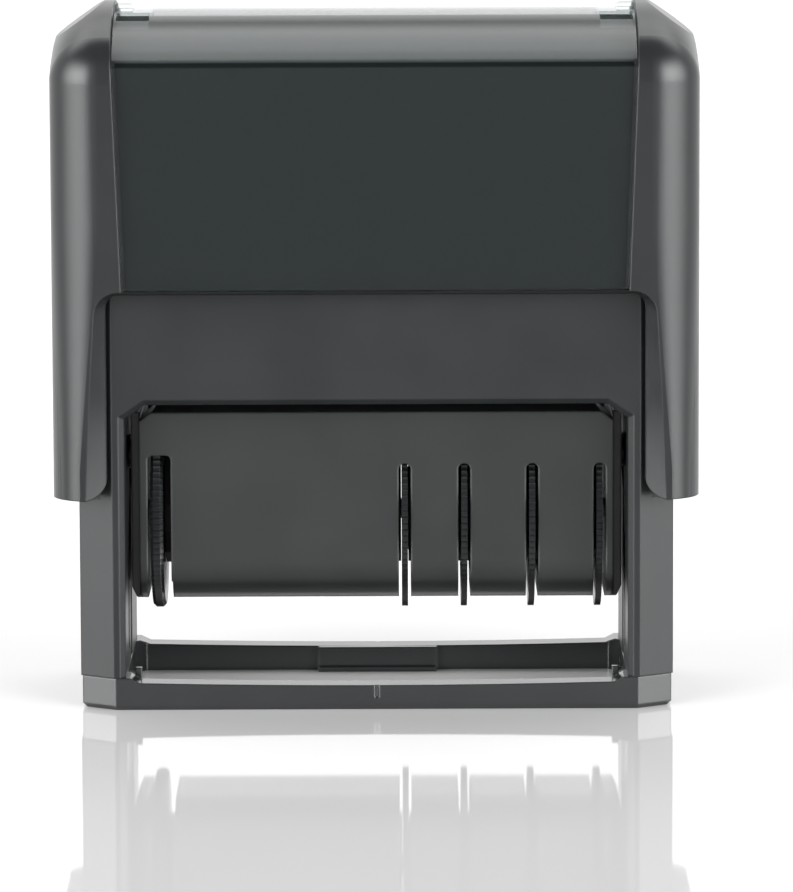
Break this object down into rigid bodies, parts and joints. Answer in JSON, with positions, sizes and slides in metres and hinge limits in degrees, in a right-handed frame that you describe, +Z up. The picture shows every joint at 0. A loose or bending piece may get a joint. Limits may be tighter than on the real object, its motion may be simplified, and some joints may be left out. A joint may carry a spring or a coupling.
{
  "type": "self-inking date stamp",
  "caption": "Self-inking date stamp: sprung cap, frame with foot ring, turning wheel box with finger wheels and bands, sliding ink pad cartridge.",
  "frame": {"origin": "middle of the base, on the surface the stamp stands on", "axes": "+Z up, -Y towards the user's front, +X to the user's right"},
  "size_m": [0.0632, 0.0306, 0.0688],
  "materials": {
    "cap_shell": "satin moulded plastic",
    "frame_plastic": "fine-textured moulded plastic",
    "ring_plastic": "satin moulded plastic",
    "clear_cover": "clear gloss plastic",
    "card": "printed gloss card",
    "tray_plastic": "moulded plastic",
    "pad_felt": "inked felt",
    "inner_plastic": "moulded plastic",
    "spring_steel": "drawn wire",
    "axle_steel": "turned",
    "box_plastic": "semi-gloss moulded plastic",
    "wheel_plastic": "moulded plastic",
    "band_rubber": "moulded rubber",
    "button_plastic": "satin moulded plastic"
  },
  "bodies": {
    "frame": {"frame": "frame_plastic", "base_ring": "ring_plastic", "return_spring": "spring_steel"},
    "cartridge": {"pad_tray": "tray_plastic", "ink_pad": "pad_felt"},
    "cap": {"cap": "cap_shell", "window_cover": "clear_cover", "index_card": "card", "yoke": "inner_plastic"},
    "left_button": {"lock_button_left": "button_plastic"},
    "right_button": {"lock_button_right": "button_plastic"},
    "wheel_box": {"wheel_box": "box_plastic", "end_plate_left": "box_plastic", "end_plate_right": "box_plastic", "wheel_axle": "axle_steel", "type_bridge": "inner_plastic", "phrase_band": "band_rubber", "day_tens_band": "band_rubber", "day_units_band": "band_rubber", "month_band": "band_rubber", "year_band": "band_rubber"},
    "phrase_wheel": {"phrase_wheel": "wheel_plastic"},
    "day_tens_wheel": {"day_tens_wheel": "wheel_plastic"},
    "day_units_wheel": {"day_units_wheel": "wheel_plastic"},
    "month_wheel": {"month_wheel": "wheel_plastic"},
    "year_wheel": {"year_wheel": "wheel_plastic"}
  },
  "joints": [
    {"name": "cap_press", "type": "slide", "parent": "frame", "child": "cap", "axis": [0, 0, -1], "range_m": [0, 0.0177], "stiffness_N_per_m": 630, "springref_m": -0.0048, "deforming": ["return_spring"]},
    {"name": "box_turn", "type": "hinge", "parent": "cap", "child": "wheel_box", "pos_m": [0, 0, 0.0238], "axis": [1, 0, 0], "range_deg": [0, 180]},
    {"name": "cartridge_slide", "type": "slide", "parent": "frame", "child": "cartridge", "axis": [0, -1, 0], "range_m": [-0.022, 0]},
    {"name": "left_button_press", "type": "slide", "parent": "cap", "child": "left_button", "axis": [1, 0, 0], "range_m": [0, 0.0007], "stiffness_N_per_m": 1500, "springref_m": -0.0003},
    {"name": "right_button_press", "type": "slide", "parent": "cap", "child": "right_button", "axis": [-1, 0, 0], "range_m": [0, 0.0007], "stiffness_N_per_m": 1500, "springref_m": -0.0003},
    {"name": "phrase_turn", "type": "hinge", "parent": "wheel_box", "child": "phrase_wheel", "pos_m": [0, 0, 0.0181], "axis": [1, 0, 0], "continuous": true},
    {"name": "day_tens_turn", "type": "hinge", "parent": "wheel_box", "child": "day_tens_wheel", "pos_m": [0, 0, 0.0181], "axis": [1, 0, 0], "continuous": true},
    {"name": "day_units_turn", "type": "hinge", "parent": "wheel_box", "child": "day_units_wheel", "pos_m": [0, 0, 0.0181], "axis": [1, 0, 0], "continuous": true},
    {"name": "month_turn", "type": "hinge", "parent": "wheel_box", "child": "month_wheel", "pos_m": [0, 0, 0.0181], "axis": [1, 0, 0], "continuous": true},
    {"name": "year_turn", "type": "hinge", "parent": "wheel_box", "child": "year_wheel", "pos_m": [0, 0, 0.0181], "axis": [1, 0, 0], "continuous": true}
  ],
  "couplings": [
    {"joint": "box_turn", "follows": "cap_press", "rad_per_m": 177.49}
  ]
}
